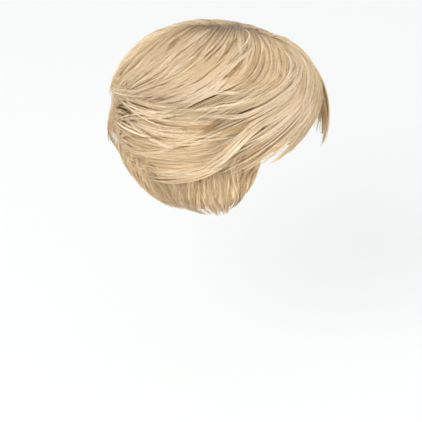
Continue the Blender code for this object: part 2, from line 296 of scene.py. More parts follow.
LOOSE_WISPS = [
    # Over the crown to the back
    (5.0, 5, 0.6, 0.66, ONE, [(138, 36), (-164, 34), (-142, 50), (-149, 66), (-148, 80)]),
    (5.0, 5, 0.6, 0.62, ONE, [(160, 17), (-141, 28), (-137, 45), (-140, 61), (-146, 76)]),
    (4.5, 5, 0.8, 0.66, ONE, [(92, 8), (-75, 13), (-94, 34), (-106, 47), (-118, 59), (-142, 68)]),
    # From the front of the part to the right temple
    (2.1, 3, 0.6, 0.79, ONE, [(50, 36), (28, 43), (4, 46), (-22, 47), (-46, 51), (-66, 56), (-84, 62)]),
    (2.5, 4, 0.6, 0.66, ONE, [(62, 26), (28, 32), (8, 41), (-18, 49), (-48, 55), (-68, 61)]),
    (3.0, 3, 1.0, 0.60, ONE, [(88, 13), (16, 19), (-10, 27), (-36, 37), (-56, 47), (-74, 56)]),
    (2.5, 3, 1.0, 0.74, ONE, [(59, 17), (21, 31), (11, 40), (-15, 45), (-42, 50), (-62, 56)]),
    # From the part down the right
    (3.9, 3, 0.6, 0.73, ONE, [(70, 15), (-25, 17), (-62, 32), (-84, 48), (-100, 60), (-122, 68)]),
    # Swept level to the back
    (3.5, 4, 1.0, 0.58, BOTH, [(-70, 56), (-94, 62), (-114, 66), (-136, 71), (-150, 78)]),
    (3.5, 4, 0.8, 0.72, BOTH, [(-68, 64), (-88, 73), (-105, 77), (-122, 79), (-144, 84)]),
    (3.5, 4, 0.8, 0.50, BOTH, [(-62, 72), (-78, 80), (-94, 86), (-108, 90), (-124, 95), (-136, 98)]),
    # Along the lower edge of the fringe
    (2.0, 3, 0.8, 0.72, ONE, [(-2, 63), (-40, 60), (-58, 66), (-69, 77), (-78, 87), (-88, 96), (-101, 107)]),
    (2.0, 3, 0.8, 0.66, ONE, [(-20, 62), (-48, 64), (-62, 73), (-72, 84), (-82, 95), (-95, 106)]),
    (3.0, 3, 0.8, 0.74, ONE, [(18, 54), (-10, 60), (-33, 66), (-50, 72), (-68, 79)]),
    (2.5, 3, 0.8, 0.66, ONE, [(-2, 61), (-20, 68), (-36, 74), (-50, 80), (-62, 88)]),
    # Short ends over the ears
    (1.8, 2, 0.5, 0.66, BOTH, [(-60, 68), (-80, 72), (-100, 79), (-122, 90)]),
    (1.8, 2, 0.5, 0.62, BOTH, [(-68, 60), (-86, 71), (-102, 82), (-118, 95)]),
    (1.8, 2, 0.5, 0.60, BOTH, [(-92, 60), (-112, 68), (-132, 78), (-150, 92)]),
    (1.8, 2, 0.5, 0.72, BOTH, [(-84, 66), (-104, 71), (-126, 72), (-150, 72)]),
    (1.8, 2, 0.5, 0.70, BOTH, [(-76, 82), (-96, 84), (-118, 82), (-142, 80)]),
    # Hanging in front of, over and behind the ears
    (3.0, 4, 0.6, 0.60, BOTH, [(-66, 76), (-69, 90), (-67, 103), (-65, 112)]),
    # Painted shade: this wisp in front of the ear has a deep tone for the shade that the fringe casts over
    # the temple.
    (3.0, 4, 0.6, 0.36, BOTH, [(-59, 80), (-58, 90), (-62, 102), (-65, 114)]),
    (4.0, 4, 0.6, 0.48, BOTH, [(-84, 90), (-84, 104), (-80, 118), (-74, 134)]),
    (4.0, 4, 0.6, 0.55, BOTH, [(-96, 92), (-98, 108), (-100, 122), (-98, 138)]),
    (5.0, 5, 0.4, 0.50, BOTH, [(-112, 84), (-115, 104), (-117, 124), (-115, 142)]),
    (2.5, 5, -1.0, 0.48, BOTH, [(-115, 96), (-115, 112), (-115, 128), (-115, 145)]),
    (5.0, 5, 0.4, 0.46, BOTH, [(-122, 90), (-117, 108), (-112, 126), (-108, 142)]),
    # Down the back
    (4.5, 4, 0.6, 0.50, BOTH, [(-128, 74), (-146, 80), (-160, 90), (-170, 102)]),
    (4.5, 4, 0.6, 0.58, BOTH, [(-126, 62), (-148, 68), (-166, 78), (-177, 92)]),
    (4.0, 4, 0.6, 0.54, BOTH, [(-118, 86), (-134, 92), (-147, 101), (-156, 114)]),
    # From the rear of the part down the back
    (4.5, 5, 0.6, 0.60, ONE, [(140, 24), (168, 34), (-176, 50), (-170, 68), (-168, 84)]),
    (4.5, 5, 0.6, 0.56, ONE, [(146, 28), (166, 42), (176, 58), (-179, 76), (-178, 90)]),
    (4.0, 7, 0.0, 0.52, ONE, [(136, 24), (148, 35), (163, 49), (173, 65), (180, 84)]),
    (4.0, 6, 0.4, 0.56, ONE, [(144, 27), (157, 40), (168, 54), (176, 70), (-178, 90)]),
    (4.5, 5, 0.6, 0.60, ONE, [(140, 30), (156, 46), (165, 62), (170, 78), (171, 90)]),
    # From the part down the left
    (4.0, 4, 0.6, 0.56, ONE, [(100, 24), (118, 40), (130, 57), (140, 73), (146, 86)]),
    (4.0, 4, 0.6, 0.60, ONE, [(74, 27), (90, 44), (102, 60), (114, 75), (122, 86)]),
    (4.0, 4, 0.6, 0.56, ONE, [(58, 30), (66, 46), (76, 62), (86, 78), (94, 90)]),
    (3.0, 4, 0.6, 0.60, ONE, [(52, 34), (52, 50), (50, 66), (46, 84), (42, 100)]),
    # Painted shade at the roots: very dark strands where the gaps between the wisps lie in shade
    (1.2, 2, 0.2, 0.04, ONE, [(68, 11), (-11, 7), (-58, 14), (-76, 24)]),
    (1.4, 3, 0.2, 0.04, ONE, [(-62, 7), (-86, 16), (-95, 27), (-98, 38)]),
    (1.4, 3, 0.2, 0.08, ONE, [(24, 16), (-22, 17), (-51, 24), (-66, 30), (-76, 40)]),
    (1.0, 2, 0.2, 0.10, ONE, [(36, 22), (18, 30), (4, 36), (-19, 42)]),
    (1.4, 2, 0.2, 0.14, ONE, [(14, 40), (2, 44), (-10, 46), (-25, 52)]),
    (1.6, 2, 0.2, 0.14, ONE, [(146, 22), (-164, 24), (-140, 32), (-132, 42)]),
    (1.6, 2, 0.2, 0.16, ONE, [(4, 20), (-18, 25), (-34, 33), (-56, 45)]),
    # Pale wisps: paler strands of the hair's own, laid where the light falls brightest, so partly painted
    # highlights
    (2.9, 3, 0.6, 0.80, ONE, [(-105, 10), (-113, 22), (-116, 38), (-119, 50), (-124, 61)]),
    (2.6, 3, 0.6, 0.79, ONE, [(-62, 30), (-72, 40), (-83, 49), (-96, 58)]),
    (1.3, 2, 0.6, 0.82, ONE, [(46, 22), (-16, 18), (-55, 26), (-74, 36), (-87, 46)]),
    (1.2, 2, 0.6, 0.78, ONE, [(86, 17), (52, 15), (0, 13), (-48, 18), (-68, 28)]),
    (2.3, 3, 0.6, 0.76, ONE, [(137, 14), (-154, 14), (-133, 24), (-128, 35)]),
    (2.1, 3, 0.6, 0.78, ONE, [(8, 60), (-10, 65), (-24, 70), (-44, 78)]),
    (1.6, 2, 0.6, 0.78, ONE, [(-112, 56), (-130, 63), (-148, 71), (-168, 80)]),
    (1.6, 2, 0.6, 0.76, ONE, [(-90, 58), (-106, 64), (-120, 69), (-134, 72), (-156, 78)]),
    # Painted shade at the sides: dark strands where the gaps under the swept layers lie in shade
    (1.6, 2, 0.2, 0.14, BOTH, [(-112, 69), (-124, 73), (-136, 76), (-150, 82)]),
    (1.4, 2, 0.2, 0.12, BOTH, [(-100, 73), (-108, 77), (-117, 82), (-128, 85)]),
    (1.6, 3, 0.2, 0.14, BOTH, [(-80, 74), (-90, 80), (-98, 84), (-106, 87)]),
    (1.6, 3, 0.2, 0.12, BOTH, [(-70, 57), (-77, 64), (-82, 69), (-88, 74)]),
    # Pale wisps at the sides
    (1.4, 2, 0.6, 0.74, BOTH, [(-80, 71), (-92, 80), (-104, 88), (-120, 94), (-138, 97)]),
    (1.2, 2, 0.6, 0.76, BOTH, [(-102, 78), (-115, 82), (-127, 84), (-142, 87), (-160, 90)]),
    # Between the middle rows and down the back
    (5.0, 6, 0.2, 0.50, BOTH, [(-144, 56), (-152, 70), (-158, 86), (-160, 104)]),
    (5.0, 6, 0.2, 0.50, BOTH, [(-130, 60), (-144, 73), (-154, 88), (-158, 106)]),
    (5.0, 5, 1.0, 0.50, BOTH, [(-150, 82), (-151, 97), (-151, 112), (-149, 128)]),
    (5.0, 5, 1.0, 0.48, BOTH, [(-160, 80), (-161, 97), (-162, 114), (-160, 132)]),
    (5.0, 5, 1.0, 0.50, BOTH, [(-170, 82), (-172, 98), (-172, 114), (-171, 132)]),
    (5.0, 5, 1.0, 0.46, ONE, [(180, 82), (180, 98), (180, 114), (180, 132)]),
    # From the front of the part over the left temple
    (3.5, 5, 0.4, 0.56, ONE, [(70, 24), (64, 33), (58, 45), (50, 60), (42, 80)]),
    (3.5, 5, 0.4, 0.54, ONE, [(78, 21), (73, 33), (68, 47), (62, 62), (56, 80)]),
    (3.0, 4, 0.4, 0.56, ONE, [(60, 27), (54, 37), (46, 50), (36, 68), (26, 86)]),
    (4.5, 5, 0.4, 0.54, ONE, [(56, 18), (76, 28), (92, 40), (104, 54), (116, 70)]),
    (4.5, 5, 0.4, 0.56, ONE, [(96, 13), (104, 26), (116, 40), (126, 56), (136, 72)]),
    (2.5, 4, 0.4, 0.60, ONE, [(50, 34), (42, 48), (34, 64), (24, 84), (14, 98)]),
    # In the part
    (3.5, 5, 0.0, 0.46, ONE, [(64, 20), (59, 29), (54, 38), (49, 47), (42, 58)]),
    (3.0, 5, 0.0, 0.50, ONE, [(60, 24), (40, 30), (22, 35), (-2, 40), (-30, 48), (-62, 58)]),
    (4.0, 6, 0.0, 0.48, ONE, [(160, 15), (142, 24), (138, 34), (142, 46), (150, 60)]),
    (4.0, 6, 0.0, 0.50, ONE, [(-178, 20), (160, 28), (156, 38), (158, 50), (164, 64)]),
    (4.0, 6, 0.0, 0.48, ONE, [(118, 13), (118, 22), (122, 32), (130, 46), (140, 60)]),
    (3.5, 5, 0.0, 0.46, ONE, [(70, 14), (78, 23), (86, 34), (94, 48), (104, 62)]),
    (3.5, 5, 0.0, 0.48, ONE, [(90, 14), (94, 23), (100, 34), (110, 48), (122, 60)]),
    (3.5, 5, 0.0, 0.50, ONE, [(140, 14), (130, 22), (130, 32), (136, 46), (146, 60)]),
    (3.5, 5, 0.0, 0.48, ONE, [(172, 17), (150, 26), (148, 36), (152, 48), (158, 62)]),
    # Painted highlights: pale bands across the fringe where the light falls on it
    (4.0, 4, 0.4, 0.80, ONE, [(34, 48), (8, 60), (-14, 68), (-30, 73)]),
    (3.5, 4, 0.4, 0.78, ONE, [(40, 40), (10, 50), (-20, 57), (-40, 62), (-56, 66)]),
    (3.5, 4, 0.4, 0.78, ONE, [(-36, 42), (-58, 50), (-76, 54), (-94, 60)]),
    # Painted shade: dark bands below the pale ones, where the hair lies in the shade of the fringe
    (3.0, 3, 0.2, 0.26, ONE, [(-44, 63), (-58, 69), (-70, 71), (-84, 74)]),
    (3.0, 3, 0.2, 0.28, ONE, [(-44, 74), (-53, 80), (-62, 86), (-70, 96)]),
    (3.0, 3, 0.2, 0.26, ONE, [(-90, 70), (-101, 74), (-112, 76), (-124, 80)]),
    (3.0, 4, 0.2, 0.20, ONE, [(-30, 20), (-50, 28), (-67, 37), (-84, 47)]),
]


# Settings that a user would change


def length(name, description, metres):
    """A setting in metres."""
    return FloatProperty(name=name, description=description, default=metres, unit="LENGTH")


def share(name, description, default):
    """A setting that is a share of a whole."""
    return FloatProperty(name=name, description=description, default=default, subtype="FACTOR")


def angle(name, description, degrees):
    """A setting that is an angle."""
    return FloatProperty(name=name, description=description, default=math.radians(degrees), subtype="ANGLE")


def power(name, description, watts):
    """A setting in watts."""
    return FloatProperty(name=name, description=description, default=watts, unit="POWER")


def colour(name, description, *parts):
    """A setting that is a colour."""
    return FloatVectorProperty(name=name, description=description, default=parts, subtype="COLOR")


class StrandSettings(bpy.types.PropertyGroup):
    """The size and lie of the strands."""

    width: length("Strand width", "Width of a strand at its middle", 0.0005)
    thickness: share("Strand thickness", "Thickness against the width", 0.4)
    scatter: length("Scatter", "How far strands rise or sink in the hair", 0.0006)
    stray_lift: length("Stray lift", "How far loose strands stand off the rest", 0.0016)
    wisps_in_a_lock: IntProperty(
        name="Wisps in a lock", description="Narrow wisps that each lock divides into", default=12, min=1
    )
    tuck: length("Tuck", "How steeply tips beyond a lock's end bend in to the next row", 0.035)
    stray_share: share("Stray share", "How many strands stray from their wisp", 0.07)
    seed: IntProperty(name="Seed", description="Which of the chance layouts is used", default=11)


class ColourSettings(bpy.types.PropertyGroup):
    """The colours of the hair and the cap."""

    deep: colour("Deep", "The darkest strands", 0.265, 0.152, 0.060)
    golden: colour("Golden", "The golden strands", 0.520, 0.345, 0.165)
    blonde: colour("Blonde", "The most usual strands", 0.722, 0.546, 0.340)
    pale: colour("Pale", "The palest strands", 0.905, 0.792, 0.618)
    # The root colour is partly the hair's own darker roots and partly painted shade at the part and where
    # rows start under the hair above.
    root: colour("Root", "The shadowed roots along the part", 0.160, 0.092, 0.040)
    cap: colour("Cap", "The cap's net", 0.600, 0.460, 0.320)
    roughness: share("Hair roughness", "How dull the hair is", 0.36)


class StageSettings(bpy.types.PropertyGroup):
    """The camera, the floor and the lights."""

    azimuth: angle("Azimuth", "The camera's turn round the wig", -68)
    elevation: angle("Elevation", "The camera's height above level", 31.5)
    distance: length("Distance", "From the camera to the middle of the head", 2.4)
    lens: FloatProperty(name="Lens", description="Focal length in millimetres", default=183.2)
    aim_right: length("Aim right", "How far right of the middle of the head it aims", -0.0162)
    aim_up: length("Aim up", "How far above the middle of the head it aims", -0.1067)
    floor_drop: length("Floor", "The floor, below the middle of the head", 0.345)
    key_power: power("Key light", "Power of the large light", 102.0)
    fill_power: power("Fill light", "Power of the light at the face", 60.0)
    rear_power: power("Rear light", "Power of the low light at the back", 30.0)
    sky: FloatProperty(name="Sky", description="Strength of the light from all round", default=1.0)


class WigSettings(bpy.types.PropertyGroup):
    """All the settings of the wig and its studio."""

    strands: PointerProperty(type=StrandSettings)
    colours: PointerProperty(type=ColourSettings)
    stage: PointerProperty(type=StageSettings)


# Shader maths


class Value:
    """A socket that Python's operators can work on: each one adds its Math node."""

    def __init__(self, tree, socket):
        self.tree = tree
        self.socket = socket

    def math(self, operation, *items):
        """A Math node of items, which are values or numbers."""
        node = self.tree.nodes.new("ShaderNodeMath")
        node.operation = operation
        for number, item in enumerate(items):
            if isinstance(item, Value):
                self.tree.links.new(item.socket, node.inputs[number])
            else:
                node.inputs[number].default_value = item
        return Value(self.tree, node.outputs[0])

    def __add__(self, other):
        return self.math("ADD", self, other)

    def __radd__(self, other):
        return self.math("ADD", other, self)

    def __sub__(self, other):
        return self.math("SUBTRACT", self, other)

    def __rsub__(self, other):
        return self.math("SUBTRACT", other, self)

    def __mul__(self, other):
        return self.math("MULTIPLY", self, other)

    def __rmul__(self, other):
        return self.math("MULTIPLY", other, self)

    def smooth(self, low, high):
        """0 below low, 1 above high and smooth between them."""
        node = self.tree.nodes.new("ShaderNodeMapRange")
        node.interpolation_type = "SMOOTHSTEP"
        node.inputs["From Min"].default_value = low
        node.inputs["From Max"].default_value = high
        self.tree.links.new(self.socket, node.inputs["Value"])
        return Value(self.tree, node.outputs["Result"])


class Finish:
    """A new material, and the one way that its nodes are added."""

    def __init__(self, name):
        self.material = bpy.data.materials.new(name)
        self.material.use_nodes = True
        self.tree = self.material.node_tree
        self.shader = self.tree.nodes["Principled BSDF"]

    def add(self, kind, settings=None, **inputs):
        """Adds a node of a kind, with its settings and then the values or links of its sockets."""
        node = self.tree.nodes.new("ShaderNode" + kind)
        for name, value in (settings or {}).items():
            if name == "stops":
                self.set_stops(node.color_ramp, value)
            else:
                setattr(node, name, value)
        for name, value in inputs.items():
            self.feed(node, name.replace("_", " "), value)
        return node

    def set_stops(self, ramp, stops):
        """Gives a colour ramp its stops, as (place, colour)."""
        while len(ramp.elements) < len(stops):
            ramp.elements.new(1.0)
        for element, (place, tint) in zip(ramp.elements, stops):
            element.position = place
            element.color = rgba(tint)

    def feed(self, node, name, value):
        """Sets or links one socket of a node."""
        socket = next(s for s in node.inputs if s.name == name and s.enabled)
        if isinstance(value, Value):
            value = value.socket
        if isinstance(value, bpy.types.NodeSocket):
            self.tree.links.new(value, socket)
        else:
            socket.default_value = value

    def out(self, node, name):
        """An output of a node as a value for maths."""
        return Value(self.tree, next(s for s in node.outputs if s.name == name and s.enabled))

    def mix(self, factor, first, second):
        """A colour between two."""
        node = self.add("Mix", {"data_type": "RGBA"}, Factor=factor, A=first, B=second)
        return next(s for s in node.outputs if s.name == "Result" and s.enabled)

    def noise(self, place, scale, detail, roughness=0.5):
        """Noise at a place."""
        node = self.add("TexNoise", Vector=place, Scale=scale, Detail=detail, Roughness=roughness)
        return self.out(node, "Fac")

    def stretched(self, place, scale):
        """A place on the palette map, scaled apart across and along."""
        return self.add("Mapping", Vector=place.outputs["UV"], Scale=scale).outputs["Vector"]


def rgba(tint):
    """A colour with full alpha."""
    return (*tint, 1.0)


def strand_finish(name, colours):
    """Glossy fibre: its tone runs across the palette map and its length runs up it."""
    finish = Finish(name)
    place = finish.add("UVMap", {"uv_map": PALETTE_MAP})
    split = finish.add("SeparateXYZ", Vector=place.outputs["UV"])
    tone = finish.out(split, "X")
    along = finish.out(split, "Y")
    uneven = finish.noise(finish.stretched(place, MOTTLE_SCALE), 1.0, 3.0, 0.6) - 0.5
    stops = [(0.0, colours.deep), (0.32, colours.golden), (0.60, colours.blonde), (1.0, colours.pale)]
    ramp = finish.add("ValToRGB", {"stops": stops}, Fac=tone + uneven * 0.18)
    # Strands darken towards the root colour over the first part of their length: partly the hair's own
    # darker roots, partly painted shade at the part and under the rows above.
    at_root = 1.0 - (along + uneven * 0.30).smooth(-0.02, 0.36)
    tint = finish.mix(at_root * 0.85, ramp.outputs["Color"], rgba(colours.root))
    finish.feed(finish.shader, "Base Color", tint)
    finish.feed(finish.shader, "Roughness", colours.roughness + uneven * 0.16)
    finish.shader.inputs["Specular IOR Level"].default_value = 0.5
    return finish.material


def lock_finish(name, colours):
    """The mass under the strands: fine streaks that run along each lock."""
    finish = Finish(name)
    place = finish.add("UVMap", {"uv_map": PALETTE_MAP})
    split = finish.add("SeparateXYZ", Vector=place.outputs["UV"])
    along = finish.out(split, "Y")
    hairs = finish.noise(finish.stretched(place, FINE_SCALE), 1.0, 2.0, 0.6)
    wisps = finish.noise(finish.stretched(place, BROAD_SCALE), 1.0, 2.0)
    streak = hairs * 0.6 + wisps * 0.4
    stops = [(0.15, colours.deep), (0.36, colours.golden), (0.58, colours.blonde)]
    ramp = finish.add("ValToRGB", {"stops": stops}, Fac=streak)
    # The mass darkens towards the root colour near its start: partly the hair's own darker roots, partly
    # painted shade at the part and under the rows above.
    at_root = 1.0 - along.smooth(0.0, 0.32)
    tint = finish.mix(at_root * 0.9, ramp.outputs["Color"], rgba(colours.root))
    bump = finish.add("Bump", Strength=0.6, Distance=0.0008, Height=streak)
    finish.feed(finish.shader, "Base Color", tint)
    finish.feed(finish.shader, "Normal", bump.outputs["Normal"])
    finish.shader.inputs["Roughness"].default_value = 0.5
    return finish.material


def net_finish(name, colours):
    """The cap's cloth: sewn bands that run level round the head over a fine, soft net."""
    finish = Finish(name)
    place = finish.add("TexCoord").outputs["Object"]
    level = {"bands_direction": "Z", "wave_profile": "SIN"}
    bands = finish.add("TexWave", level, Vector=place, Scale=BANDS_SCALE, Distortion=0.8, Detail=1.0)
    net = finish.noise(place, NET_SCALE, 1.0)
    wear = finish.noise(place, WEAR_SCALE, 3.0)
    seam = finish.out(bands, "Fac").smooth(0.80, 1.0)
    cloth = net * 0.6 + wear * 0.4
    dark = tuple(0.80 * part for part in colours.cap)
    pale = tuple(0.4 * part + 0.4 for part in colours.cap)
    tint = finish.mix(cloth.smooth(0.35, 0.62), rgba(dark), rgba(colours.cap))
    tint = finish.mix(seam * 0.45, tint, rgba(pale))
    bump = finish.add("Bump", Strength=0.4, Distance=0.0006, Height=cloth * 0.5 + seam)
    finish.feed(finish.shader, "Base Color", tint)
    finish.feed(finish.shader, "Normal", bump.outputs["Normal"])
    finish.feed(finish.shader, "Roughness", 0.95 - cloth * 0.2)
    return finish.material


# Places on the head


def direction(place):
    """The unit vector from the middle of the head to a (turn, drop) in degrees."""
    turn, drop = np.radians(place[0]), np.radians(place[1])
    return np.array([np.sin(drop) * np.sin(turn), -np.sin(drop) * np.cos(turn), np.cos(drop)])


def unit(vectors):
    """Vectors made one long."""
    return vectors / np.linalg.norm(vectors, axis=-1, keepdims=True)


def head_point(way, lift):
    """Points that stand lift above the head in the directions way."""
    height = np.where(way[..., 2] > 0, CROWN_HEIGHT, NAPE_DEPTH)
    x = (HEAD_WIDTH / 2 + lift) * way[..., 0]
    y = (HEAD_LENGTH / 2 + lift) * way[..., 1]
    z = (height + lift) * way[..., 2] - CROWN_HEIGHT
    return np.stack([x, y, z], axis=-1)


def hair_depth(way):
    """How far the outside of the hair stands above the cap in the directions way."""
    front_or_back = np.where(way[..., 1] < 0, HAIR_FRONT, HAIR_BACK)
    top_or_neck = np.where(way[..., 2] > 0, HAIR_TOP, HAIR_NECK)
    return HAIR_SIDE * way[..., 0] ** 2 + front_or_back * way[..., 1] ** 2 + top_or_neck * way[..., 2] ** 2


def smooth_step(value, low, high):
    """0 below low, 1 above high and smooth between them."""
    part = np.clip((value - low) / (high - low), 0.0, 1.0)
    return part * part * (3 - 2 * part)


def weights(count, part):
    """The four nearest of count evenly spaced points to each part, and their weights in a smooth curve.

    Beyond either end the curve runs on nearly straight.
    """
    last = count - 1
    at = part * last
    i = np.clip(np.floor(at).astype(int), 0, last - 1)
    f = np.clip(at - i, 0.0, 1.0)
    past = 0.9 * (at - i - f)
    slope_in = (f**3 - 2 * f**2 + f) / 2
    slope_out = (f**3 - f**2) / 2
    start = 2 * f**3 - 3 * f**2 + 1
    chosen = np.stack([np.maximum(i - 1, 0), i, i + 1, np.minimum(i + 2, last)], axis=-1)
    parts = np.stack([-slope_in, start - slope_out - past, 1 - start + slope_in + past, slope_out], axis=-1)
    return chosen, parts


def through(values, part):
    """The values at part, from 0 to 1, of a smooth curve through evenly spaced values."""
    values = np.asarray(values, dtype=float)
    chosen, parts = weights(len(values), part)
    picked = values[chosen]
    return (picked * parts.reshape(parts.shape + (1,) * (picked.ndim - parts.ndim))).sum(axis=part.ndim)


class Surface:
    """The inner and outer face of one row of hair, by its place across the row and along the locks."""

    def __init__(self, row):
        self.row = row
        self.ways = np.array([[direction(place) for place in guide[:4]] for guide in row.guides])
        self.lifts = np.array([guide.lift for guide in row.guides])

    def at(self, across, along):
        """Directions, and the heights of the inner and outer face there."""
        guides = unit(through(self.ways, across))
        chosen, parts = weights(4, along)
        picked = np.take_along_axis(guides, chosen[..., None], axis=-2)
        way = unit((picked * parts[..., None]).sum(axis=-2))
        depth = hair_depth(way) * through(self.lifts, across)
        seat = CAP_WALL + SEAT_GAP
        inside = np.clip(along, 0.0, 1.0)
        low = seat + np.maximum(through(self.row.under, inside), 0.0) * depth
        high = seat + through(self.row.over, inside) * depth
        return way, low, np.maximum(high, low + THINNEST_HAIR)


class Envelope:
    """The outermost hair in every direction, smoothed, on a flat map of the head round its crown."""

    CELL = 3.0
    REACH = 54
    BLURS = 3

    def __init__(self, rows):
        size = 2 * self.REACH + 1
        heights = np.zeros((size, size))
        grid = np.meshgrid(np.linspace(0, 1, 180), np.linspace(0, 1, 90), indexing="ij")
        for row in rows:
            way, low, high = Surface(row).at(*grid)
            column, line = self.cells(way)
            np.maximum.at(heights, (np.rint(column).astype(int), np.rint(line).astype(int)), high)
        covered = (heights > 0).astype(float)
        for _ in range(self.BLURS):
            heights, covered = self.blurred(heights), self.blurred(covered)
        self.heights = heights / np.maximum(covered, 1e-6)

    def cells(self, way):
        """Places on the map, counted in cells."""
        drop = np.degrees(np.arccos(np.clip(way[..., 2], -1, 1)))
        flat = drop / np.maximum(np.hypot(way[..., 0], way[..., 1]), 1e-9) / self.CELL
        return [np.clip(way[..., axis] * flat + self.REACH, 0, 2 * self.REACH) for axis in (0, 1)]

    def blurred(self, values):
        """Each cell as the mean of itself and its neighbours."""
        for axis in (0, 1):
            values = (values + np.roll(values, 1, axis) + np.roll(values, -1, axis)) / 3
        return values

    def at(self, way):
        """The height of the hair in the directions way."""
        column, line = self.cells(way)
        i = np.minimum(column.astype(int), 2 * self.REACH - 1)
        j = np.minimum(line.astype(int), 2 * self.REACH - 1)
        f, g = column - i, line - j
        near = self.heights[i, j] * (1 - g) + self.heights[i, j + 1] * g
        far = self.heights[i + 1, j] * (1 - g) + self.heights[i + 1, j + 1] * g
        return near * (1 - f) + far * f


# Meshes from arrays


def mesh_object(name, points, quads, triangles, maps, materials, material_of_quads):
    """An object of joined faces with its palette map."""
    mesh = bpy.data.meshes.new(name)
    corners = np.concatenate([quads.ravel(), triangles.ravel()]).astype(np.int32)
    quad_starts = np.arange(len(quads)) * 4
    triangle_starts = len(quads) * 4 + np.arange(len(triangles)) * 3
    starts = np.concatenate([quad_starts, triangle_starts]).astype(np.int32)
    mesh.vertices.add(len(points))
    mesh.vertices.foreach_set("co", points.astype(np.float32).ravel())
    mesh.loops.add(len(corners))
    mesh.loops.foreach_set("vertex_index", corners)
    mesh.polygons.add(len(starts))
    mesh.polygons.foreach_set("loop_start", starts)
    which = np.concatenate([material_of_quads, np.zeros(len(triangles), dtype=np.int32)]).astype(np.int32)
    mesh.polygons.foreach_set("material_index", which)
    mesh.update(calc_edges=True)
    layer = mesh.uv_layers.new(name=PALETTE_MAP)
    layer.data.foreach_set("uv", maps[corners].astype(np.float32).ravel())
    mesh.shade_smooth()
    for material in materials:
        mesh.materials.append(material)
    made = bpy.data.objects.new(name, mesh)
    bpy.context.scene.collection.objects.link(made)
    return made


def lock_profile(row, across):
    """How deep each place across a row lies in the valleys between its locks, from 0 to 1."""
    part = (across * row.locks) % 1.0
    return np.abs(2 * part - 1) ** 3


def grid_faces(columns, steps):
    """The faces of a closed form with an outer and an inner grid of points, one after the other."""
    index = np.arange(columns * steps).reshape(columns, steps)
    shift = columns * steps
    a, b, c, d = index[:-1, :-1], index[:-1, 1:], index[1:, 1:], index[1:, :-1]
    outer = np.stack([a, b, c, d], -1).reshape(-1, 4)
    inner = np.stack([a, d, c, b], -1).reshape(-1, 4) + shift
    rim = np.concatenate([index[:, 0], index[-1, 1:], index[-2::-1, -1], index[0, -2:0:-1]])
    following = np.roll(rim, -1)
    return np.concatenate([outer, inner, np.stack([rim, following, following + shift, rim + shift], -1)])


def lock_mass(row, dice):
    """The closed mass under the strands: points, faces and map places."""
    columns = row.locks * LOCK_COLUMNS + 1
    across = np.linspace(0, 1, columns)[:, None] * np.ones((1, LOCK_STEPS))
    lock = np.minimum((across[:, 0] * row.locks).astype(int), row.locks)
    reach = dice.uniform(SHORTEST_MASS, LONGEST_MASS, row.locks + 1)[lock]
    reach = reach - MASS_NOTCH * lock_profile(row, across[:, 0])
    along = np.linspace(0, 1, LOCK_STEPS)[None, :] * reach[:, None]
    way, low, high = Surface(row).at(across, along)
    valley = lock_profile(row, across) * row.groove * LOCK_GROOVE * np.minimum(1, 3 * along)
    high = high - (MASS_SINK + MASS_VALLEY * valley)
    thin = smooth_step(along / reach[:, None], 0.7, 1.0)
    high = np.maximum(high - thin * MASS_TIP * (high - low), low + 0.0008)
    points = np.concatenate([head_point(way, high).reshape(-1, 3), head_point(way, low).reshape(-1, 3)])
    maps = np.stack([across.ravel(), along.ravel()], -1)
    return points, grid_faces(columns, LOCK_STEPS), np.concatenate([maps, maps])


def tones(dice, middle, spread, streaks):
    """Tones round a middle one, of which some are streaks much darker or paler than the rest."""
    chance = dice.random(len(middle))
    streak = np.where(chance < streaks, -DARK_STREAK, np.where(chance > 1 - streaks, PALE_STREAK, 0.0))
    return middle + streak + dice.normal(0, spread, len(middle))


def wisp_table(row, settings, dice):
    """The narrow wisps of a row. Some start under the hair, and some end early."""
    count = row.locks * settings.wisps_in_a_lock
    middle = (np.arange(count) + dice.uniform(-0.6, 1.6, count)) / count
    room = smooth_step(np.minimum(middle, 1 - middle), -0.02, 0.14)
    early = dice.random(count) < row.short
    covered = dice.random(count) < COVERED_SHARE
    start = np.where(covered, dice.uniform(0.08, 0.5, count), -row.parted)
    short = dice.uniform(0.55, 0.94, count)
    reach = np.where(early, short, 1 + row.past * dice.uniform(-1.0, 1.0, count))
    return Wisps(
        middle=middle,
        start=start,
        reach=np.maximum(reach, start + 0.3),
        half=dice.uniform(0.5, 1.7, count) / count,
        lean=row.loose * room * dice.normal(0, WISP_LEAN, count),
        bow=row.loose * room * dice.normal(0, WISP_BOW, count),
        phase=dice.uniform(0, 6.28, count),
        rise=dice.normal(WISP_RISE, settings.scatter, count) + np.where(early, EARLY_RISE, 0.0),
        curl=dice.normal(WISP_CURL, CURL_SCATTER, count),
        tone=tones(dice, np.full(count, row.tone), 0.06, 0.08),
    )


def wisp_shape(part, root=0.5):
    """How wide a wisp is along its length: gathered at the root, and drawn to a point at the tip."""
    return (root + (1 - root) * smooth_step(part, 0.0, 0.3)) * (1 - 0.80 * smooth_step(part, 0.45, 1.0))


def strand_shape(step, start, opening, thinning):
    """How wide a strand is along its length: it opens from its start and thins to its tip."""
    return np.minimum(1.0, opening * step + start) * (1 - thinning * step**3)


def column(values):
    """One value for each strand, to go with all of its sections."""
    return values[:, None]


